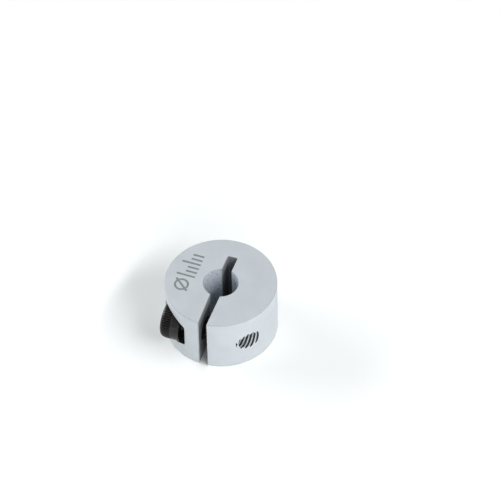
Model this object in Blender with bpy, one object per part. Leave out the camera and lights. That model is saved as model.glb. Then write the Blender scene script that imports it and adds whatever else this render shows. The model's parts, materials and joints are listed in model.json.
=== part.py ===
"""One-piece clamp shaft collar, 5 mm bore, with its M3 x 8 clamp screw.

Frame: the origin is on the bore axis at the lower face, +Z runs along the bore, +X runs along
the clamp screw towards the tapped side, and -Y points out of the slit. Lengths are in metres.

The collar is a single machined piece whose web, behind the relief slot, flexes when the screw
is tightened. It is split in the middle of that web, so that the flexing side can turn about
the web. The screw is split behind its chamfered point, because it turns and travels at once.
"""
import math

import bmesh
import bpy
from mathutils import Vector

MM = 0.001

# Collar
OUTER_RADIUS = 8.0 * MM
BORE_RADIUS = 2.5 * MM
WIDTH = 9.0 * MM
EDGE_BREAK = 0.1 * MM
MID_WIDTH = WIDTH / 2

# Slit, relief slot and the web between the slot and the rim
SLOT_HALF_WIDTH = 0.7 * MM
RELIEF_END_Y = 5.0 * MM
LIP_SPRUNG_IN = 0.22 * MM
WEB_SPLIT_GAP = 0.05 * MM

# Holes for the clamp screw
SCREW_Y = -5.1 * MM
COUNTERBORE_RADIUS = 3.0 * MM
SEAT_X = -2.85 * MM
CLEARANCE_RADIUS = 1.7 * MM

# M3 x 0.5 thread, both halves of it
PITCH = 0.5 * MM
PITCH_RADIUS = 1.3375 * MM
SHARP_HEIGHT = PITCH * math.sqrt(3) / 2
FLANK_CLEARANCE = 0.025 * MM
SCREW_MAJOR_RADIUS = 1.47 * MM
SCREW_MINOR_RADIUS = 1.18 * MM
HOLE_MAJOR_RADIUS = 1.53 * MM
HOLE_MINOR_RADIUS = 1.25 * MM

# Clamp screw, backed off from its seat
BACKED_OFF_TURNS = 1.75
SEAT_GAP = 0.02 * MM
SCREW_LENGTH = 8.0 * MM
HEAD_RADIUS = 2.75 * MM
HEAD_HEIGHT = 2.86 * MM
HEAD_ROUND_LENGTH = 0.8 * MM
HEAD_ROUND_DEPTH = 0.45 * MM
NECK_LENGTH = 0.5 * MM
NECK_RADIUS = 1.25 * MM
SOCKET_ACROSS_FLATS = 2.5 * MM
SOCKET_DEPTH = 1.3 * MM
POINT_LENGTH = 0.4 * MM
POINT_TIP_RADIUS = 0.95 * MM
POINT_SPLIT_GAP = 0.02 * MM

HEAD_UNDER_X = SEAT_X - SEAT_GAP - BACKED_OFF_TURNS * PITCH
HEAD_FACE_X = HEAD_UNDER_X - HEAD_HEIGHT
TIP_X = HEAD_UNDER_X + SCREW_LENGTH
SHANK_END_X = TIP_X - POINT_LENGTH

# Facets of the round shapes
RIM_STEPS = 72
HOLE_STEPS = 40
THREAD_STEPS = 20
ROUND_STEPS = 4
SHARP_ANGLE = math.radians(30)
MERGE_DISTANCE = 1e-8

# How far a cutter passes the surface that it cuts
OVERSHOOT = 1.0 * MM

ALUMINIUM = {"colour": (0.60, 0.64, 0.68), "roughness": 0.45}
BLACK_OXIDE = {"colour": (0.018, 0.016, 0.016), "roughness": 0.38}


def clear_scene():
    for old in list(bpy.data.objects):
        bpy.data.objects.remove(old, do_unlink=True)


def metal(name, colour, roughness):
    material = bpy.data.materials.new(name)
    material.use_nodes = True
    shader = material.node_tree.nodes["Principled BSDF"]
    shader.inputs["Base Color"].default_value = (*colour, 1.0)
    shader.inputs["Roughness"].default_value = roughness
    shader.inputs["Metallic"].default_value = 1.0
    return material


def make_object(name, shape, origin=(0.0, 0.0, 0.0)):
    """Turn a bmesh into an object whose origin is the given point."""
    bmesh.ops.recalc_face_normals(shape, faces=shape.faces)
    bmesh.ops.translate(shape, verts=shape.verts, vec=-Vector(origin))
    mesh = bpy.data.meshes.new(name)
    shape.to_mesh(mesh)
    shape.free()
    piece = bpy.data.objects.new(name, mesh)
    piece.location = origin
    bpy.context.scene.collection.objects.link(piece)
    return piece


def hide_cutter(piece):
    piece.hide_render = True
    piece.display_type = "WIRE"
    return piece


def add_boolean(piece, tool, operation):
    modifier = piece.modifiers.new(operation.lower() + "_" + tool.name, "BOOLEAN")
    modifier.operation = operation
    modifier.solver = "EXACT"
    modifier.object = tool


def finish_part(piece, look):
    piece.data.materials.append(metal(piece.name, **look))
    piece.data.shade_smooth()
    piece.data.set_sharp_from_angle(angle=SHARP_ANGLE)


def spin_profile(points, axis, centre, steps):
    """Turn a closed outline of 3-D points once around an axis."""
    shape = bmesh.new()
    corners = [shape.verts.new(point) for point in points]
    edges = [shape.edges.new((corners[i - 1], corner)) for i, corner in enumerate(corners)]
    bmesh.ops.spin(shape, geom=corners + edges, cent=centre, axis=axis,
                   angle=math.tau, steps=steps, use_merge=True)
    bmesh.ops.remove_doubles(shape, verts=shape.verts, dist=MERGE_DISTANCE)
    return shape


def spin_about_screw(outline, steps):
    """Turn an outline of (x, radius) pairs around the screw's axis."""
    points = [(x, SCREW_Y - radius, MID_WIDTH) for x, radius in outline]
    return spin_profile(points, (1, 0, 0), (0, SCREW_Y, MID_WIDTH), steps)


def extrude_outline(outline, depth):
    """Extrude a flat outline of 3-D points along the given vector."""
    shape = bmesh.new()
    face = shape.faces.new([shape.verts.new(point) for point in outline])
    grown = bmesh.ops.extrude_face_region(shape, geom=[face])
    moved = [item for item in grown["geom"] if isinstance(item, bmesh.types.BMVert)]
    bmesh.ops.translate(shape, verts=moved, vec=depth)
    return shape


def block(low, high):
    outline = [(low[0], low[1], low[2]), (high[0], low[1], low[2]),
               (high[0], high[1], low[2]), (low[0], high[1], low[2])]
    return extrude_outline(outline, (0, 0, high[2] - low[2]))


def ring_blank():
    """The turned ring, with its rims and its bore's mouths broken by a small chamfer."""
    outline = []
    for radius, side in ((BORE_RADIUS, 1), (OUTER_RADIUS, -1)):
        corner = [(radius, EDGE_BREAK), (radius + side * EDGE_BREAK, 0.0)]
        far_corner = [(r, WIDTH - z) for r, z in corner]
        if side > 0:
            outline += far_corner[::-1] + corner
        else:
            outline += corner[::-1] + far_corner
    points = [(radius, 0.0, z) for radius, z in outline]
    return spin_profile(points, (0, 0, 1), (0, 0, 0), RIM_STEPS)


def slit_shape():
    """The slit, whose screw-head side has sprung in a little at the mouth."""
    mouth_y = -OUTER_RADIUS - OVERSHOOT
    reach = (abs(mouth_y) - BORE_RADIUS) / (OUTER_RADIUS - BORE_RADIUS)
    outline = [(SLOT_HALF_WIDTH, 0.0),
               (-SLOT_HALF_WIDTH, 0.0),
               (-SLOT_HALF_WIDTH, -BORE_RADIUS),
               (-SLOT_HALF_WIDTH + LIP_SPRUNG_IN * reach, mouth_y),
               (SLOT_HALF_WIDTH, mouth_y)]
    points = [(x, y, -OVERSHOOT) for x, y in outline]
    return extrude_outline(points, (0, 0, WIDTH + 2 * OVERSHOOT))


def relief_shape():
    return block((-SLOT_HALF_WIDTH, -BORE_RADIUS / 2, -OVERSHOOT),
                 (SLOT_HALF_WIDTH, RELIEF_END_Y, WIDTH + OVERSHOOT))


def half_space(side):
    """A block over everything on the +X side (side 1) or the -X side (side -1) of the web."""
    reach = OUTER_RADIUS + OVERSHOOT
    near = -side * WEB_SPLIT_GAP / 2
    far = side * reach
    return block((min(near, far), -reach, -OVERSHOOT), (max(near, far), reach, WIDTH + OVERSHOOT))


def head_pocket_shape():
    """The counterbore for the head and the clearance hole through to the slit."""
    outside = -OUTER_RADIUS - OVERSHOOT
    outline = [(outside, 0.0), (outside, COUNTERBORE_RADIUS), (SEAT_X, COUNTERBORE_RADIUS),
               (SEAT_X, CLEARANCE_RADIUS), (0.0, CLEARANCE_RADIUS), (0.0, 0.0)]
    return spin_about_screw(outline, HOLE_STEPS)


def thread_rows(offset, root_radius, crest_radius):
    """One pitch of a 60 degree thread, as (axial place, radius) from crest to next crest."""
    sharp = PITCH_RADIUS + offset + SHARP_HEIGHT / 2
    crest_half = (sharp - crest_radius) / math.sqrt(3)
    root_start = (sharp - root_radius) / math.sqrt(3)
    return [(-crest_half, crest_radius), (crest_half, crest_radius),
            (root_start, root_radius), (PITCH - root_start, root_radius)]


def threaded_rod(rows, start_x, end_x):
    """A closed rod with a right-hand thread along +X, whose crests pass angle 0 at whole pitches."""
    shape = bmesh.new()
    first_turn = math.floor(start_x / PITCH)
    turns = math.ceil(end_x / PITCH) - first_turn
    row_count = turns * len(rows)

    def place(row, step):
        axial, radius = rows[row % len(rows)]
        x = (first_turn + row // len(rows) + step / THREAD_STEPS) * PITCH + axial
        angle = math.tau * step / THREAD_STEPS
        return (x, SCREW_Y + radius * math.cos(angle), MID_WIDTH + radius * math.sin(angle))

    grid = [[shape.verts.new(place(row, step)) for step in range(THREAD_STEPS)]
            for row in range(row_count + len(rows))]

    def corner(row, step):
        if step == THREAD_STEPS:
            return grid[row + len(rows)][0]
        return grid[row][step]

    for row in range(row_count - 1):
        for step in range(THREAD_STEPS):
            shape.faces.new((corner(row, step), corner(row, step + 1),
                             corner(row + 1, step + 1), corner(row + 1, step)))
    for row in (0, row_count - 1):
        rim = [grid[row][step] for step in range(THREAD_STEPS)]
        rim += [grid[row + up][0] for up in range(len(rows), 0, -1)]
        middle = sum((vert.co for vert in rim), Vector()) / len(rim)
        hub = shape.verts.new((middle.x, SCREW_Y, MID_WIDTH))
        for i, vert in enumerate(rim):
            shape.faces.new((rim[i - 1], vert, hub))
    loose = [vert for vert in shape.verts if not vert.link_faces]
    bmesh.ops.delete(shape, geom=loose, context="VERTS")
    return shape


def head_outline():
    """The head's rounded top edge, its side and its underside, down to the neck."""
    outline = [(HEAD_FACE_X, 0.0)]
    for i in range(ROUND_STEPS + 1):
        angle = math.pi / 2 * i / ROUND_STEPS
        x = HEAD_FACE_X + HEAD_ROUND_LENGTH * (1 - math.cos(angle))
        outline.append((x, HEAD_RADIUS - HEAD_ROUND_DEPTH * (1 - math.sin(angle))))
    outline += [(HEAD_UNDER_X - EDGE_BREAK, HEAD_RADIUS),
                (HEAD_UNDER_X, HEAD_RADIUS - EDGE_BREAK),
                (HEAD_UNDER_X, NECK_RADIUS),
                (HEAD_UNDER_X + NECK_LENGTH, NECK_RADIUS),
                (HEAD_UNDER_X + NECK_LENGTH, 0.0)]
    return outline


def hex_shape():
    """The hexagon socket, as a prism that starts outside the head's face."""
    corner_radius = SOCKET_ACROSS_FLATS / math.sqrt(3)
    outline = []
    for i in range(6):
        angle = math.tau * i / 6
        outline.append((HEAD_FACE_X - OVERSHOOT, SCREW_Y + corner_radius * math.cos(angle),
                        MID_WIDTH + corner_radius * math.sin(angle)))
    return extrude_outline(outline, (OVERSHOOT + SOCKET_DEPTH, 0, 0))


def build_collar():
    slit = hide_cutter(make_object("cut_slit", slit_shape()))
    relief = hide_cutter(make_object("cut_relief", relief_shape()))
    pocket = hide_cutter(make_object("cut_head_pocket", head_pocket_shape()))
    rows = thread_rows(FLANK_CLEARANCE, HOLE_MINOR_RADIUS, HOLE_MAJOR_RADIUS)
    tapped = hide_cutter(make_object("cut_tapped_hole", threaded_rod(rows, 0.0, OUTER_RADIUS)))

    flexure = (0.0, RELIEF_END_Y, MID_WIDTH)
    for name, side, hole, origin in (("collar_body", 1, tapped, (0.0, 0.0, 0.0)),
                                     ("clamp_jaw", -1, pocket, flexure)):
        other_side = hide_cutter(make_object("cut_" + name + "_half", half_space(-side)))
        piece = make_object(name, ring_blank(), origin)
        for cutter in (other_side, slit, relief, hole):
            add_boolean(piece, cutter, "DIFFERENCE")
        finish_part(piece, ALUMINIUM)


def build_screw():
    axis_point = (HEAD_UNDER_X, SCREW_Y, MID_WIDTH)
    socket = hide_cutter(make_object("cut_socket", hex_shape()))
    rows = thread_rows(-FLANK_CLEARANCE, SCREW_MINOR_RADIUS, SCREW_MAJOR_RADIUS)
    rod = threaded_rod(rows, HEAD_UNDER_X + PITCH / 2, SHANK_END_X + PITCH)
    thread = hide_cutter(make_object("add_thread", rod))
    reach = 2 * SCREW_MAJOR_RADIUS
    end = block((SHANK_END_X, SCREW_Y - reach, MID_WIDTH - reach),
                (TIP_X + OVERSHOOT, SCREW_Y + reach, MID_WIDTH + reach))
    shank_end = hide_cutter(make_object("cut_shank_end", end))

    screw = make_object("clamp_screw", spin_about_screw(head_outline(), HOLE_STEPS), axis_point)
    add_boolean(screw, thread, "UNION")
    add_boolean(screw, shank_end, "DIFFERENCE")
    add_boolean(screw, socket, "DIFFERENCE")
    finish_part(screw, BLACK_OXIDE)

    start = SHANK_END_X + POINT_SPLIT_GAP
    outline = [(start, 0.0), (start, SCREW_MINOR_RADIUS), (TIP_X, POINT_TIP_RADIUS), (TIP_X, 0.0)]
    point = make_object("clamp_screw_point", spin_about_screw(outline, THREAD_STEPS), axis_point)
    finish_part(point, BLACK_OXIDE)


clear_scene()
build_collar()
build_screw()
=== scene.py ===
"""Looks of the one-piece clamp shaft collar and its clamp screw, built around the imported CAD."""
import json
import math

import bmesh
import bpy
from mathutils import Matrix, Vector


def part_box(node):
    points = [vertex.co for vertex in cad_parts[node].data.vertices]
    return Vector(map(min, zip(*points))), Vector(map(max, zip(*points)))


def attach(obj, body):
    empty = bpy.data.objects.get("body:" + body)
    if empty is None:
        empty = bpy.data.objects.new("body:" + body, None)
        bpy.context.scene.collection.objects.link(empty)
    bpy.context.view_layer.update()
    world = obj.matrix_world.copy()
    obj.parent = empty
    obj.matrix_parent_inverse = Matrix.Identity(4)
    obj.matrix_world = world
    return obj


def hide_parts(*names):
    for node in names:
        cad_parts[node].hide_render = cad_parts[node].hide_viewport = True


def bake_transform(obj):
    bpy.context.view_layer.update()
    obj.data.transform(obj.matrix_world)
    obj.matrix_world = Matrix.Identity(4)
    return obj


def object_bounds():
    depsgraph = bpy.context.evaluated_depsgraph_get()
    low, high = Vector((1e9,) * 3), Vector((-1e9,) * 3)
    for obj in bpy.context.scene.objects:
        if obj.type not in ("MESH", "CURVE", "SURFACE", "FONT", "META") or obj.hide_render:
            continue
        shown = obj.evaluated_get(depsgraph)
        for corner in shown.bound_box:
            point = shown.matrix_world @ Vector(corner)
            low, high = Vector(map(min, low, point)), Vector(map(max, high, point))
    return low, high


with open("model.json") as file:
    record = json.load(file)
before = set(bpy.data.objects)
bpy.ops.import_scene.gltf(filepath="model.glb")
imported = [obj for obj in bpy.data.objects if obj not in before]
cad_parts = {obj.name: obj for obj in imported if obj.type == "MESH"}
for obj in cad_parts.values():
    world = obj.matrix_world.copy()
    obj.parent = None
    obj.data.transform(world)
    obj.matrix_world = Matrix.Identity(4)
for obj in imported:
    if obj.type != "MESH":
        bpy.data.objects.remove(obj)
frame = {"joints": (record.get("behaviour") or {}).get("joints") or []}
cad_low, cad_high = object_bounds()

MM = 0.001
JOINTS = {joint["name"]: joint for joint in frame["joints"]}

# Collar, from the CAD where it says, and the same driving sizes as the CAD elsewhere
OUTER_RADIUS = cad_high.y
WIDTH = cad_high.z - cad_low.z
RELIEF_END_Y = JOINTS["jaw_flex"]["pos_m"][1]
BORE_RADIUS = 2.5 * MM
SLOT_HALF_WIDTH = 0.7 * MM
LIP_SPRUNG_IN = 0.22 * MM
COUNTERBORE_RADIUS = 3.0 * MM
SEAT_X = -2.85 * MM
CLEARANCE_RADIUS = 1.7 * MM

# Clamp screw, from the CAD
HEAD_UNDER_X, SCREW_Y, SCREW_Z = JOINTS["screw_turn"]["pos_m"]
screw_low, screw_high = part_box("clamp_screw")
HEAD_FACE_X = screw_low.x
HEAD_RADIUS = (screw_high.z - screw_low.z) / 2
TIP_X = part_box("clamp_screw_point")[1].x

# M3 x 0.5 thread. Its crests and roots are up to 0.05 mm from those of the faceted CAD
PITCH = 0.5 * MM
PITCH_RADIUS = 1.3375 * MM
SHARP_HEIGHT = PITCH * math.sqrt(3) / 2
FLANK_CLEARANCE = 0.025 * MM
SCREW_MAJOR_RADIUS = 1.44 * MM
SCREW_MINOR_RADIUS = 1.18 * MM
HOLE_MAJOR_RADIUS = 1.48 * MM
HOLE_MINOR_RADIUS = 1.26 * MM
THREAD_SOFTENING = 0.012 * MM
SOFT_DROP = 0.8 * THREAD_SOFTENING
THREAD_PHASE = -0.3

# Surface detail
EDGE_ROUND = 0.07 * MM
CORNER_ROUND = 0.08 * MM
EDGE_STEPS = 4
CORNER_STEPS = 5
SLIT_STEPS = 14
RELIEF_SIDE_STEPS = 8
RELIEF_END_STEPS = 10
RIM_STEPS = 288
BORE_STEPS = 72
HOLE_STEPS = 144
THREAD_STEPS = 48
SMOOTH_ANGLE = math.radians(15)
OVERSHOOT = 1.0 * MM
POCKET_CHAMFER = 0.12 * MM

# Order of the collar's material slots
# The edge and sawn slots carry painted shade, the root slot painted shade in the thread's grooves, and the
# crest slot a painted highlight.
BLASTED, EDGE, BORE, SAWN, DRILLED, CREST_PAINTED_HIGHLIGHT, ROOT_PAINTED_SHADE, MARKED = range(8)


# ---------------------------------------------------------------- materials

class Nodes:
    """A short way to wire a material's nodes."""

    def __init__(self, name):
        self.material = bpy.data.materials.new(name)
        self.material.use_nodes = True
        self.tree = self.material.node_tree
        self.shader = self.tree.nodes["Principled BSDF"]
        coordinates = self.tree.nodes.new("ShaderNodeTexCoord")
        self.place = coordinates.outputs["Object"]

    def link(self, source, target):
        self.tree.links.new(source, target)

    def stretched(self, scale, rotation=(0.0, 0.0, 0.0)):
        node = self.tree.nodes.new("ShaderNodeMapping")
        node.inputs["Rotation"].default_value = rotation
        node.inputs["Scale"].default_value = scale
        self.link(self.place, node.inputs["Vector"])
        return node.outputs["Vector"]

    def noise(self, grain, detail=3.0, place=None, distortion=0.0):
        """Noise whose lumps are about grain metres across."""
        node = self.tree.nodes.new("ShaderNodeTexNoise")
        node.inputs["Scale"].default_value = 1.0 / grain
        node.inputs["Detail"].default_value = detail
        node.inputs["Distortion"].default_value = distortion
        self.link(place or self.place, node.inputs["Vector"])
        return node.outputs["Fac"]

    def speckle(self, grain):
        node = self.tree.nodes.new("ShaderNodeTexVoronoi")
        node.inputs["Scale"].default_value = 1.0 / grain
        self.link(self.place, node.inputs["Vector"])
        return node.outputs["Distance"]

    def spread(self, source, low, high, start=0.3, end=0.7):
        """Map a value from start..end to low..high."""
        node = self.tree.nodes.new("ShaderNodeMapRange")
        node.inputs["From Min"].default_value = start
        node.inputs["From Max"].default_value = end
        node.inputs["To Min"].default_value = low
        node.inputs["To Max"].default_value = high
        self.link(source, node.inputs["Value"])
        return node.outputs["Result"]

    def colours(self, source, stops):
        node = self.tree.nodes.new("ShaderNodeValToRGB")
        ramp = node.color_ramp
        while len(ramp.elements) < len(stops):
            ramp.elements.new(0.5)
        for element, (position, colour) in zip(ramp.elements, stops):
            element.position = position
            element.color = (*colour, 1.0)
        self.link(source, node.inputs["Fac"])
        return node.outputs["Color"]

    def add(self, first, second, share):
        """First plus share times second."""
        node = self.tree.nodes.new("ShaderNodeMath")
        node.operation = "MULTIPLY_ADD"
        node.inputs[1].default_value = share
        self.link(second, node.inputs[0])
        self.link(first, node.inputs[2])
        return node.outputs["Value"]

    def bump(self, height, depth):
        node = self.tree.nodes.new("ShaderNodeBump")
        node.inputs["Distance"].default_value = depth
        self.link(height, node.inputs["Height"])
        self.link(node.outputs["Normal"], self.shader.inputs["Normal"])

    def set(self, **values):
        for name, value in values.items():
            socket = self.shader.inputs[name.replace("_", " ")]
            if isinstance(value, (int, float)):
                socket.default_value = value
            else:
                self.link(value, socket)


def tinted(colour, share):
    return tuple(channel * share for channel in colour)


ALUMINIUM = (0.625, 0.655, 0.68)


def blasted_aluminium():
    """Fine bead-blasted and clear-anodised skin, with faint clouds in its tone."""
    n = Nodes("blasted_aluminium")
    grain = n.noise(0.09 * MM, detail=4.0)
    clouds = n.noise(3.0 * MM, detail=2.0)
    tone = n.add(clouds, grain, 0.35)
    n.set(Base_Color=n.colours(tone, [(0.40, tinted(ALUMINIUM, 0.97)), (0.90, tinted(ALUMINIUM, 1.03))]),
          Roughness=n.spread(grain, 0.58, 0.70), Metallic=0.30)
    n.bump(n.add(grain, n.speckle(0.16 * MM), 0.6), 0.006 * MM)
    return n.material


def broken_edge():
    """The deburred edges, a little smoother than the faces beside them, and painted darker than them:
    painted shade along the rims.
    """
    n = Nodes("broken_edge")
    grain = n.noise(0.12 * MM, detail=3.0)
    # Painted shade: a darker aluminium than the faces, standing in for the rounded rims in shade.
    n.set(Base_Color=n.colours(grain, [(0.3, tinted(ALUMINIUM, 0.78)), (0.7, tinted(ALUMINIUM, 0.92))]),
          Roughness=n.spread(grain, 0.42, 0.54), Metallic=0.5)
    n.bump(grain, 0.003 * MM)
    return n.material


def reamed_bore():
    """The bore: fine rings from the reamer, scattered with small dark pits."""
    n = Nodes("reamed_bore")
    rings = n.noise(0.30 * MM, detail=4.0, place=n.stretched((0.15, 0.15, 5.0)))
    pits = n.noise(0.22 * MM, detail=4.0)
    tone = n.add(pits, rings, 0.15)
    stops = [(0.40, (0.30, 0.32, 0.35)), (0.47, (0.58, 0.62, 0.67)), (0.80, (0.70, 0.745, 0.80))]
    n.set(Base_Color=n.colours(tone, stops), Roughness=n.spread(pits, 0.62, 0.48), Metallic=0.1)
    n.bump(tone, 0.012 * MM)
    return n.material


def sawn_wall():
    """The walls of the slit and the relief slot, with the saw's marks running along them, painted much
    darker than the outer skin: painted shade inside the slots.
    """
    n = Nodes("sawn_wall")
    marks = n.noise(0.35 * MM, detail=5.0, place=n.stretched((1.0, 0.12, 4.0)))
    specks = n.noise(0.15 * MM, detail=3.0)
    tone = n.add(marks, specks, 0.3)
    # Painted shade: 0.44 to 0.66 of the aluminium's tone, for the shade deep in the narrow slots.
    n.set(Base_Color=n.colours(tone, [(0.45, tinted(ALUMINIUM, 0.44)), (0.90, tinted(ALUMINIUM, 0.66))]),
          Roughness=n.spread(marks, 0.46, 0.60), Metallic=0.2)
    n.bump(tone, 0.008 * MM)
    return n.material


def drilled_wall():
    """The counterbore and the clearance hole, with turning marks around the screw's axis."""
    n = Nodes("drilled_wall")
    marks = n.noise(0.30 * MM, detail=4.0, place=n.stretched((5.0, 0.3, 0.3)))
    n.set(Base_Color=n.colours(marks, [(0.30, tinted(ALUMINIUM, 0.62)), (0.70, tinted(ALUMINIUM, 0.90))]),
          Roughness=n.spread(marks, 0.36, 0.50), Metallic=0.6)
    n.bump(marks, 0.006 * MM)
    return n.material


def thread_crest():
    """The tapped thread's crests and the tops of its flanks, painted as bright as the face around them and
    brighter: a painted highlight on the crests.
    """
    n = Nodes("thread_crest")
    marks = n.noise(0.12 * MM, detail=3.0)
    # Painted highlight: up to a fifth lighter than the aluminium of the face.
    n.set(Base_Color=n.colours(marks, [(0.30, tinted(ALUMINIUM, 1.00)), (0.70, tinted(ALUMINIUM, 1.20))]),
          Roughness=n.spread(marks, 0.40, 0.52), Metallic=0.3)
    n.bump(marks, 0.003 * MM)
    return n.material


def thread_root():
    """The bottom of the tapped thread, painted near black: painted shade in the thread's grooves."""
    n = Nodes("thread_root")
    marks = n.noise(0.15 * MM, detail=3.0)
    # Painted shade: a near-black colour for the grooves between the crests.
    n.set(Base_Color=n.colours(marks, [(0.30, (0.070, 0.080, 0.088)), (0.70, (0.115, 0.130, 0.140))]),
          Roughness=n.spread(marks, 0.45, 0.60), Metallic=0.2)
    n.bump(marks, 0.003 * MM)
    return n.material


def laser_mark():
    """The engraved mark: darker and rougher than the face, as a laser leaves it."""
    n = Nodes("laser_mark")
    burn = n.noise(0.14 * MM, detail=5.0)
    n.set(Base_Color=n.colours(burn, [(0.30, (0.27, 0.30, 0.31)), (0.72, (0.43, 0.47, 0.485))]),
          Roughness=n.spread(burn, 0.60, 0.80), Metallic=0.4)
    n.bump(burn, 0.010 * MM)
    return n.material


def black_oxide():
    """Black oxide steel with a thin film of oil: nearly black, brownish where it thins."""
    n = Nodes("black_oxide")
    film = n.noise(0.9 * MM, detail=4.0, distortion=0.4)
    grain = n.noise(0.07 * MM, detail=3.0)
    tone = n.add(film, grain, 0.3)
    stops = [(0.45, (0.004, 0.003, 0.003)), (0.68, (0.010, 0.007, 0.007)), (0.90, (0.036, 0.027, 0.024))]
    n.set(Base_Color=n.colours(tone, stops), Roughness=n.spread(tone, 0.18, 0.32, 0.45, 0.9), Metallic=0.1,
          Specular_IOR_Level=0.85)
    n.bump(grain, 0.003 * MM)
    return n.material


# ---------------------------------------------------------------- mesh tools

def make_object(name, shape):
    bmesh.ops.recalc_face_normals(shape, faces=shape.faces)
    mesh = bpy.data.meshes.new(name)
    shape.to_mesh(mesh)
    shape.free()
    piece = bpy.data.objects.new(name, mesh)
    bpy.context.scene.collection.objects.link(piece)
    return piece


def apply_booleans(piece, steps):
    """Cut or join the tools in turn, keep the result as plain mesh, and remove the tools."""
    for operation, tool in steps:
        modifier = piece.modifiers.new(tool.name, "BOOLEAN")
        modifier.operation = operation
        modifier.solver = "EXACT"
        modifier.object = tool
    bpy.context.view_layer.update()
    graph = bpy.context.evaluated_depsgraph_get()
    result = bpy.data.meshes.new_from_object(piece.evaluated_get(graph))
    piece.modifiers.clear()
    old = piece.data
    piece.data = result
    bpy.data.meshes.remove(old)
    for operation, tool in steps:
        bpy.data.objects.remove(tool, do_unlink=True)


def set_slot(piece, index=None):
    """Give a piece every collar material. A cutter's faces carry theirs into the cut."""
    for material in collar_materials:
        piece.data.materials.append(material)
    if index is not None:
        for face in piece.data.polygons:
            face.material_index = index
    return piece


def turn_outline(outline, steps, radius_at=None):
    """Turn (x, radius) pairs around the screw's axis. Pairs with radius 0 become one point."""
    shape = bmesh.new()
    rings = []
    for x, radius in outline:
        if radius == 0.0:
            rings.append([shape.verts.new((x, SCREW_Y, SCREW_Z))])
            continue
        ring = []
        for step in range(steps):
            r = radius_at(x, radius, step) if radius_at else radius
            angle = math.tau * step / steps
            ring.append(shape.verts.new((x, SCREW_Y + r * math.cos(angle), SCREW_Z + r * math.sin(angle))))
        rings.append(ring)
    for low, high in zip(rings, rings[1:]):
        for step in range(steps):
            after = (step + 1) % steps
            corners = [low[step % len(low)], low[after % len(low)],
                       high[after % len(high)], high[step % len(high)]]
            shape.faces.new(list(dict.fromkeys(corners)))
    return shape


def extrude_outline(points, depth):
    shape = bmesh.new()
    face = shape.faces.new([shape.verts.new(point) for point in points])
    grown = bmesh.ops.extrude_face_region(shape, geom=[face])
    moved = [item for item in grown["geom"] if isinstance(item, bmesh.types.BMVert)]
    bmesh.ops.translate(shape, verts=moved, vec=depth)
    return shape


def thread_rows(offset, root_radius, crest_radius):
    """One pitch of a 60 degree thread, as (axial place, radius), with softened crest and root."""
    sharp = PITCH_RADIUS + offset + SHARP_HEIGHT / 2
    crest_half = (sharp - crest_radius) / math.sqrt(3)
    root_start = (sharp - root_radius) / math.sqrt(3)
    flank = THREAD_SOFTENING / math.sqrt(3)
    rows = [(0.0, crest_radius), (crest_half - THREAD_SOFTENING / 2, crest_radius),
            (crest_half + flank, crest_radius - SOFT_DROP),
            ((crest_half + root_start) / 2, (crest_radius + root_radius) / 2),
            (root_start - flank, root_radius + SOFT_DROP),
            (root_start + THREAD_SOFTENING, root_radius), (PITCH / 2, root_radius)]
    mirrored = [(PITCH - x, radius) for x, radius in rows[1:-1]]
    return rows + mirrored[::-1]


def threaded_rod(rows, start_x, end_x, crest_slot=0, root_slot=0):
    """A closed rod with a right-hand thread along +X, with a slot for its crests and one for its roots."""
    shape = bmesh.new()
    first_turn = math.floor(start_x / PITCH)
    turns = math.ceil(end_x / PITCH) - first_turn
    row_count = turns * len(rows)

    def place(row, step):
        axial, radius = rows[row % len(rows)]
        turn = first_turn + row // len(rows) + step / THREAD_STEPS + THREAD_PHASE
        x = turn * PITCH + axial
        angle = math.tau * step / THREAD_STEPS
        return (x, SCREW_Y + radius * math.cos(angle), SCREW_Z + radius * math.sin(angle))

    grid = [[shape.verts.new(place(row, step)) for step in range(THREAD_STEPS)]
            for row in range(row_count + len(rows))]

    def corner(row, step):
        if step == THREAD_STEPS:
            return grid[row + len(rows)][0]
        return grid[row][step]

    for row in range(row_count - 1):
        outer = min(row % len(rows), len(rows) - 1 - row % len(rows)) < len(rows) // 4
        for step in range(THREAD_STEPS):
            face = shape.faces.new((corner(row, step), corner(row, step + 1),
                                    corner(row + 1, step + 1), corner(row + 1, step)))
            face.material_index = crest_slot if outer else root_slot
    for row in (0, row_count - 1):
        rim = [grid[row][step] for step in range(THREAD_STEPS)]
        rim += [grid[row + up][0] for up in range(len(rows), 0, -1)]
        middle = sum((vert.co for vert in rim), Vector()) / len(rim)
        hub = shape.verts.new((middle.x, SCREW_Y, SCREW_Z))
        for i, vert in enumerate(rim):
            shape.faces.new((rim[i - 1], vert, hub))
    loose = [vert for vert in shape.verts if not vert.link_faces]
    bmesh.ops.delete(shape, geom=loose, context="VERTS")
    return shape


# ---------------------------------------------------------------- collar

def arc(radius, start, end, steps):
    return [(radius * math.cos(start + (end - start) * i / steps),
             radius * math.sin(start + (end - start) * i / steps)) for i in range(steps + 1)]


def wall(start, end, steps):
    return [(start[0] + (end[0] - start[0]) * i / steps,
             start[1] + (end[1] - start[1]) * i / steps) for i in range(steps + 1)]


def on_circle(x, radius, side):
    return (x, side * math.sqrt(radius * radius - x * x))


def angle_of(point):
    return math.atan2(point[1], point[0]) % math.tau


def rounded_corner(before, corner, after):
    """The points of a small arc tangent to both sides of a corner."""
    corner, into, out = Vector(corner), Vector(before), Vector(after)
    a = (into - corner).normalized()
    b = (out - corner).normalized()
    half = a.angle(b) / 2
    reach = CORNER_ROUND / math.tan(half)
    centre = corner + (a + b).normalized() * (CORNER_ROUND / math.sin(half))
    first = corner + a * reach - centre
    last = corner + b * reach - centre
    turn = first.angle_signed(last)
    points = []
    for i in range(CORNER_STEPS + 1):
        points.append(tuple(centre + Matrix.Rotation(-turn * i / CORNER_STEPS, 2) @ first))
    return points


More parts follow.
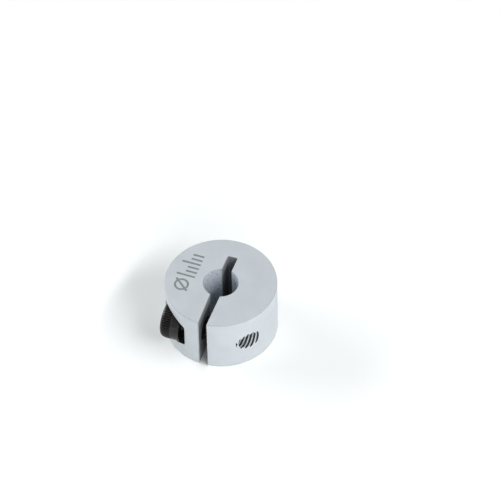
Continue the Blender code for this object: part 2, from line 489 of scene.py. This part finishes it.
def collar_outline():
    """The collar seen from above, as one closed loop of (point, material), anticlockwise."""
    right_lip = on_circle(SLOT_HALF_WIDTH, OUTER_RADIUS, -1)
    left_lip = on_circle(-SLOT_HALF_WIDTH + LIP_SPRUNG_IN, OUTER_RADIUS, -1)
    slit_left = on_circle(-SLOT_HALF_WIDTH, BORE_RADIUS, -1)
    slit_right = on_circle(SLOT_HALF_WIDTH, BORE_RADIUS, -1)
    relief_left = on_circle(-SLOT_HALF_WIDTH, BORE_RADIUS, 1)
    relief_right = on_circle(SLOT_HALF_WIDTH, BORE_RADIUS, 1)
    end_left = (-SLOT_HALF_WIDTH, RELIEF_END_Y)
    end_right = (SLOT_HALF_WIDTH, RELIEF_END_Y)
    stretches = [
        (BLASTED, arc(OUTER_RADIUS, angle_of(right_lip) - math.tau, angle_of(left_lip), RIM_STEPS)),
        (SAWN, wall(left_lip, slit_left, SLIT_STEPS)),
        (BORE, arc(BORE_RADIUS, angle_of(slit_left), angle_of(relief_left), BORE_STEPS)),
        (SAWN, wall(relief_left, end_left, RELIEF_SIDE_STEPS)),
        (SAWN, wall(end_left, end_right, RELIEF_END_STEPS)),
        (SAWN, wall(end_right, relief_right, RELIEF_SIDE_STEPS)),
        (BORE, arc(BORE_RADIUS, angle_of(relief_right), angle_of(slit_right) - math.tau, BORE_STEPS)),
        (SAWN, wall(slit_right, right_lip, SLIT_STEPS)),
    ]
    loop = []
    for i, (look, points) in enumerate(stretches):
        following = stretches[(i + 1) % len(stretches)][1]
        loop += [(point, look) for point in points[1:-1]]
        loop += [(point, EDGE) for point in rounded_corner(points[-2], points[-1], following[1])]
    return loop


def collar_shape():
    """The outline drawn up through the width, with its edges rounded at both faces."""
    loop = collar_outline()
    count = len(loop)
    points = [Vector(point) for point, look in loop]
    inward = []
    for i, point in enumerate(points):
        along = (points[(i + 1) % count] - points[i - 1]).normalized()
        inward.append(Vector((-along.y, along.x)))
    levels = []
    for i in range(EDGE_STEPS + 1):
        angle = math.pi / 2 * i / EDGE_STEPS
        levels.append((EDGE_ROUND * (1 - math.cos(angle)), EDGE_ROUND * (1 - math.sin(angle))))
    heights = levels + [(WIDTH - z, inset) for z, inset in reversed(levels)]

    shape = bmesh.new()
    rings = []
    for z, inset in heights:
        ring = []
        for point, normal in zip(points, inward):
            place = point + normal * inset
            ring.append(shape.verts.new((place.x, place.y, z)))
        rings.append(ring)
    for level, (low, high) in enumerate(zip(rings, rings[1:])):
        for i in range(count):
            face = shape.faces.new((low[i - 1], low[i], high[i], high[i - 1]))
            face.material_index = loop[i][1] if level == EDGE_STEPS else EDGE
    shape.faces.new(rings[0][::-1]).material_index = BLASTED
    shape.faces.new(rings[-1]).material_index = BLASTED
    return shape


def head_pocket():
    """The counterbore for the head, open through the rim, and the clearance hole to the slit."""
    outside = -OUTER_RADIUS - OVERSHOOT
    outline = [(outside, 0.0), (outside, COUNTERBORE_RADIUS),
               (SEAT_X - POCKET_CHAMFER, COUNTERBORE_RADIUS),
               (SEAT_X, COUNTERBORE_RADIUS - POCKET_CHAMFER),
               (SEAT_X, CLEARANCE_RADIUS + POCKET_CHAMFER),
               (SEAT_X + POCKET_CHAMFER, CLEARANCE_RADIUS), (0.0, CLEARANCE_RADIUS), (0.0, 0.0)]
    return make_object("pocket", turn_outline(outline, HOLE_STEPS))


# ---------------------------------------------------------------- engraved mark

MARK_BASE_X = -3.80 * MM
MARK_START_Y = -3.35 * MM
MARK_HEIGHT = 2.75 * MM
MARK_STROKE = 0.31 * MM
MARK_DEPTH = 0.035 * MM
MARK_RING_STEPS = 40
MITRE_LIMIT = 0.5
SIGN_X = 1.25 * MM
SIGN_RADIUS = 0.92 * MM
SLASH_HALF = Vector((0.92, 1.10)) * MM
TICK_START = 3.05 * MM
TICK_PITCH = 0.78 * MM
TICK_SHARES = (1.0, 0.6, 0.6, 1.0, 0.6, 0.6)


def mark_groove(name, path, closed):
    """A groove of the mark's stroke along a path of (reading, rising) points on the upper face."""
    points = [Vector(point) for point in path]
    count = len(points)
    sides = ([], [])
    for i, point in enumerate(points):
        before = points[i - 1] if closed or i > 0 else point
        after = points[(i + 1) % count] if closed or i < count - 1 else point
        into = (point - before).normalized() if before != point else (after - point).normalized()
        out = (after - point).normalized() if after != point else into
        across = Vector((-(into + out).y, (into + out).x)).normalized()
        lean = max(across.dot(Vector((-into.y, into.x))), MITRE_LIMIT)
        for side, sign in zip(sides, (1, -1)):
            side.append(point + across * (sign * MARK_STROKE / 2 / lean))

    def solid(outer, inner):
        shape = bmesh.new()
        layers = []
        for z in (WIDTH - MARK_DEPTH, WIDTH + OVERSHOOT / 4):
            layers.append([[shape.verts.new((MARK_BASE_X - p.y, MARK_START_Y + p.x, z)) for p in line]
                           for line in (outer, inner)])
        (low_out, low_in), (high_out, high_in) = layers
        spans = range(count) if closed else range(count - 1)
        for i in spans:
            j = (i + 1) % count
            shape.faces.new((low_out[i], low_out[j], low_in[j], low_in[i]))
            shape.faces.new((high_out[i], high_out[j], high_in[j], high_in[i]))
            shape.faces.new((low_out[i], low_out[j], high_out[j], high_out[i]))
            shape.faces.new((low_in[i], low_in[j], high_in[j], high_in[i]))
        if not closed:
            for i in (0, -1):
                shape.faces.new((low_out[i], low_in[i], high_in[i], high_out[i]))
        return shape

    return set_slot(make_object(name, solid(*sides)), MARKED)


def ring_path(centre_x, centre_y, radius):
    angles = [math.tau * i / MARK_RING_STEPS for i in range(MARK_RING_STEPS)]
    return [(centre_x + radius * math.cos(angle), centre_y + radius * math.sin(angle)) for angle in angles]


def face_mark():
    """A diameter sign and a short scale of ticks, engraved beside the bore."""
    centre = Vector((SIGN_X, MARK_HEIGHT / 2))
    grooves = [mark_groove("mark_ring", ring_path(SIGN_X, MARK_HEIGHT / 2, SIGN_RADIUS), True),
               mark_groove("mark_slash", [centre - SLASH_HALF, centre + SLASH_HALF], False)]
    for i, share in enumerate(TICK_SHARES):
        x = TICK_START + i * TICK_PITCH
        grooves.append(mark_groove(f"mark_tick_{i}", [(x, 0.0), (x, MARK_HEIGHT * share)], False))
    return grooves


def build_collar():
    piece = set_slot(make_object("collar", collar_shape()))
    pocket = set_slot(head_pocket(), DRILLED)
    rows = thread_rows(FLANK_CLEARANCE, HOLE_MINOR_RADIUS, HOLE_MAJOR_RADIUS)
    # The cutter's crests cut the hole's roots, which get the painted shade, and its roots leave the hole's
    # crests, which get the painted highlight.
    tap = threaded_rod(rows, 0.0, OUTER_RADIUS, crest_slot=ROOT_PAINTED_SHADE, root_slot=CREST_PAINTED_HIGHLIGHT)
    tapped = set_slot(make_object("tapped_hole", tap))
    steps = [("DIFFERENCE", tool) for tool in (pocket, tapped, *face_mark())]
    apply_booleans(piece, steps)
    piece.data.shade_smooth()
    piece.data.set_sharp_from_angle(angle=SMOOTH_ANGLE)
    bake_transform(piece)
    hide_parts("collar_body", "clamp_jaw")


# ---------------------------------------------------------------- clamp screw

HEAD_ROUND_LENGTH = 0.9 * MM
HEAD_ROUND_DEPTH = 0.50 * MM
HEAD_LIP = 0.12 * MM
HEAD_FLAT_RADIUS = 0.7 * HEAD_RADIUS
HEAD_ROUND_STEPS = 12
HEAD_SIDE_STEPS = 14
HEAD_FILLET = 0.12 * MM
FILLET_MIDDLE = 0.3 * HEAD_FILLET
KNURL_TEETH = 48
KNURL_DEPTH = 0.13 * MM
KNURL_STEPS = 8
KNURL_START = 0.25 * MM
KNURL_END = 1.15 * MM
KNURL_FADE = 0.22 * MM
GROOVE_HALF_SHARE = 0.36
NECK_LENGTH = 0.45 * MM
NECK_RADIUS = 1.30 * MM
NECK_TAPER = 0.06 * MM
NECK_CONE = 0.1 * MM
POINT_LENGTH = 0.40 * MM
POINT_TIP_RADIUS = 1.05 * MM
SOCKET_ACROSS_FLATS = 2.5 * MM
SOCKET_DEPTH = 1.3 * MM
SOCKET_CHAMFER = 0.12 * MM
SOCKET_LEAD_DEPTH = 0.3 * MM
SOCKET_STEPS = 96
DRILL_SHARE = 0.96
DRILL_CONE = 0.55
THREAD_START = 0.6 * NECK_LENGTH
RUN_OUT_RADIUS = SCREW_MAJOR_RADIUS / 0.95
TRIM_CLEARANCE = 0.02 * MM


def knurled_radius(x, radius, step):
    """The head's side: straight knurl from the rounded top edge down to the plain band."""
    start = HEAD_FACE_X + KNURL_START
    end = HEAD_UNDER_X - KNURL_END
    share = min((x - start) / KNURL_FADE, (end - x) / KNURL_FADE, 1.0)
    if share <= 0.0 or radius < HEAD_RADIUS - HEAD_ROUND_DEPTH:
        return radius
    phase = (step % KNURL_STEPS) / KNURL_STEPS
    groove = max(0.0, 1.0 - abs(phase - 0.5) / GROOVE_HALF_SHARE)
    return radius - KNURL_DEPTH * share * groove


def head_shape():
    """The head, its rounded top edge, its knurled side, the fillet under it and the neck."""
    outline = [(HEAD_FACE_X, 0.0), (HEAD_FACE_X, HEAD_FLAT_RADIUS)]
    for i in range(HEAD_ROUND_STEPS + 1):
        angle = math.pi / 2 * i / HEAD_ROUND_STEPS
        x = HEAD_FACE_X + HEAD_ROUND_LENGTH * (1 - math.cos(angle))
        outline.append((x, HEAD_RADIUS - HEAD_ROUND_DEPTH * (1 - math.sin(angle))))
    side_start = outline[-1][0]
    straight = HEAD_UNDER_X - HEAD_LIP - side_start
    for i in range(1, HEAD_SIDE_STEPS + 1):
        outline.append((side_start + straight * i / HEAD_SIDE_STEPS, HEAD_RADIUS))
    outline += [(HEAD_UNDER_X, HEAD_RADIUS - HEAD_LIP),
                (HEAD_UNDER_X, NECK_RADIUS + HEAD_FILLET),
                (HEAD_UNDER_X + FILLET_MIDDLE, NECK_RADIUS + FILLET_MIDDLE),
                (HEAD_UNDER_X + HEAD_FILLET, NECK_RADIUS),
                (HEAD_UNDER_X + NECK_LENGTH, NECK_RADIUS - NECK_TAPER),
                (HEAD_UNDER_X + NECK_LENGTH + NECK_CONE, 0.0)]
    return turn_outline(outline, KNURL_TEETH * KNURL_STEPS, knurled_radius)


def hexagon(x, corner_radius):
    return [(x, SCREW_Y + corner_radius * math.cos(math.tau * i / 6),
             SCREW_Z + corner_radius * math.sin(math.tau * i / 6)) for i in range(6)]


def socket_shape():
    """The hexagon of the socket, as a prism that starts outside the head's face."""
    start = hexagon(HEAD_FACE_X - OVERSHOOT, SOCKET_ACROSS_FLATS / math.sqrt(3))
    return make_object("socket", extrude_outline(start, (OVERSHOOT + SOCKET_DEPTH, 0, 0)))


def socket_lead_in():
    """The cone that breaks the socket's mouth, and the drill's cone at its bottom."""
    corner_radius = SOCKET_ACROSS_FLATS / math.sqrt(3)
    drill_radius = DRILL_SHARE * SOCKET_ACROSS_FLATS / 2
    bottom = HEAD_FACE_X + SOCKET_DEPTH
    outline = [(HEAD_FACE_X - OVERSHOOT, 0.0),
               (HEAD_FACE_X - OVERSHOOT, corner_radius + SOCKET_CHAMFER),
               (HEAD_FACE_X, corner_radius + SOCKET_CHAMFER / 2),
               (HEAD_FACE_X + SOCKET_LEAD_DEPTH, drill_radius),
               (bottom, drill_radius), (bottom + drill_radius * DRILL_CONE, 0.0)]
    return make_object("socket_lead_in", turn_outline(outline, SOCKET_STEPS))


def build_screw():
    piece = make_object("socket_head_screw", head_shape())
    piece.data.materials.append(black_oxide())
    rows = thread_rows(-FLANK_CLEARANCE, SCREW_MINOR_RADIUS, SCREW_MAJOR_RADIUS)
    thread = make_object("thread", threaded_rod(rows, HEAD_UNDER_X, TIP_X + PITCH))
    inside = HEAD_UNDER_X + THREAD_START
    envelope = [(inside, 0.0), (inside, SCREW_MINOR_RADIUS), (inside + PITCH, RUN_OUT_RADIUS),
                (TIP_X - POINT_LENGTH, SCREW_MAJOR_RADIUS + TRIM_CLEARANCE),
                (TIP_X, POINT_TIP_RADIUS), (TIP_X, 0.0)]
    trim = make_object("trim", turn_outline(envelope, HOLE_STEPS))
    apply_booleans(thread, [("INTERSECT", trim)])
    apply_booleans(piece, [("UNION", thread), ("DIFFERENCE", socket_shape()),
                           ("DIFFERENCE", socket_lead_in())])
    piece.data.shade_smooth()
    piece.data.set_sharp_from_angle(angle=SMOOTH_ANGLE)
    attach(piece, "screw")
    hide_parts("clamp_screw", "clamp_screw_point")


# ---------------------------------------------------------------- studio

TENT_SIDE = 0.96
TENT_TOP = 0.38
TENT_COLOUR = (0.97, 0.99, 1.0, 1.0)
FLOOR_HALF_SIZE = 1.5
LAMP_DISTANCE = 0.5
PICTURE_GAMMA = 0.8

# Name, azimuth and elevation in degrees, width and height in metres, watts, colour
LAMPS = (
    ("key", 80, 47, (0.40, 0.06), 1.18, (1.0, 1.0, 1.0)),
    ("right_fill", 35, 28, (0.30, 0.20), 0.40, (1.0, 1.0, 1.0)),
    ("left_fill", -96, 24, (0.35, 0.16), 1.00, (0.98, 0.99, 1.0)),
)

VIEW_AZIMUTH = math.radians(20.87)
VIEW_ELEVATION = math.radians(49.80)
VIEW_ROLL = math.radians(1.35)
VIEW_DISTANCE = 615.6 * MM
VIEW_LENS = 311.3
AIM_RIGHT = 4.06 * MM
AIM_UP = 7.52 * MM


def studio_floor():
    shape = bmesh.new()
    bmesh.ops.create_grid(shape, x_segments=8, y_segments=8, size=FLOOR_HALF_SIZE)
    floor = make_object("floor", shape)
    n = Nodes("pale_floor")
    n.set(Base_Color=n.colours(n.noise(40 * MM), [(0.3, (0.95, 0.955, 0.95)), (0.7, (0.97, 0.975, 0.97))]),
          Roughness=0.9, Specular_IOR_Level=0.1)
    floor.data.materials.append(n.material)


def soft_light(name, azimuth, elevation, size, power, colour):
    """A softbox of the given width and height that points at the collar from its direction."""
    a, e = math.radians(azimuth), math.radians(elevation)
    back = Vector((math.sin(a) * math.cos(e), -math.cos(a) * math.cos(e), math.sin(e)))
    lamp = bpy.data.lights.new(name, "AREA")
    lamp.shape = "RECTANGLE"
    lamp.size, lamp.size_y = size
    lamp.energy = power
    lamp.color = colour
    holder = bpy.data.objects.new(name, lamp)
    holder.location = back * LAMP_DISTANCE
    holder.rotation_mode = "QUATERNION"
    holder.rotation_quaternion = back.to_track_quat("Z", "Y")
    bpy.context.scene.collection.objects.link(holder)


def studio_light():
    """A light tent, brighter at its sides than overhead, and the soft lamps around it."""
    world = bpy.data.worlds.new("light_tent")
    world.use_nodes = True
    tree = world.node_tree
    direction = tree.nodes.new("ShaderNodeTexCoord")
    parts = tree.nodes.new("ShaderNodeSeparateXYZ")
    brightness = tree.nodes.new("ShaderNodeMapRange")
    brightness.inputs["From Min"].default_value = 0.0
    brightness.inputs["From Max"].default_value = 1.0
    brightness.inputs["To Min"].default_value = TENT_SIDE
    brightness.inputs["To Max"].default_value = TENT_TOP
    tree.links.new(direction.outputs["Generated"], parts.inputs["Vector"])
    tree.links.new(parts.outputs["Z"], brightness.inputs["Value"])
    tree.links.new(brightness.outputs["Result"], tree.nodes["Background"].inputs["Strength"])
    tree.nodes["Background"].inputs["Color"].default_value = TENT_COLOUR
    bpy.context.scene.world = world
    for lamp in LAMPS:
        soft_light(*lamp)
    bpy.context.scene.view_settings.view_transform = "Standard"
    bpy.context.scene.view_settings.gamma = PICTURE_GAMMA


def camera():
    sin_a, cos_a = math.sin(VIEW_AZIMUTH), math.cos(VIEW_AZIMUTH)
    sin_e, cos_e = math.sin(VIEW_ELEVATION), math.cos(VIEW_ELEVATION)
    back = Vector((sin_a * cos_e, -cos_a * cos_e, sin_e))
    level = Vector((cos_a, sin_a, 0.0))
    rise = back.cross(level)
    right = level * math.cos(VIEW_ROLL) - rise * math.sin(VIEW_ROLL)
    up = level * math.sin(VIEW_ROLL) + rise * math.cos(VIEW_ROLL)
    data = bpy.data.cameras.new("camera")
    data.lens = VIEW_LENS
    data.sensor_width = 36.0
    data.clip_start = 0.01
    data.clip_end = 10.0
    holder = bpy.data.objects.new("camera", data)
    axes = Matrix((right, up, back)).transposed().to_4x4()
    centre = Vector((0.0, 0.0, WIDTH / 2))
    place = centre + back * VIEW_DISTANCE + right * AIM_RIGHT + up * AIM_UP
    holder.matrix_world = Matrix.Translation(place) @ axes
    bpy.context.scene.collection.objects.link(holder)
    bpy.context.scene.camera = holder


collar_materials = [blasted_aluminium(), broken_edge(), reamed_bore(), sawn_wall(),
                    drilled_wall(), thread_crest(), thread_root(), laser_mark()]
camera()
studio_floor()
studio_light()
build_collar()
build_screw()
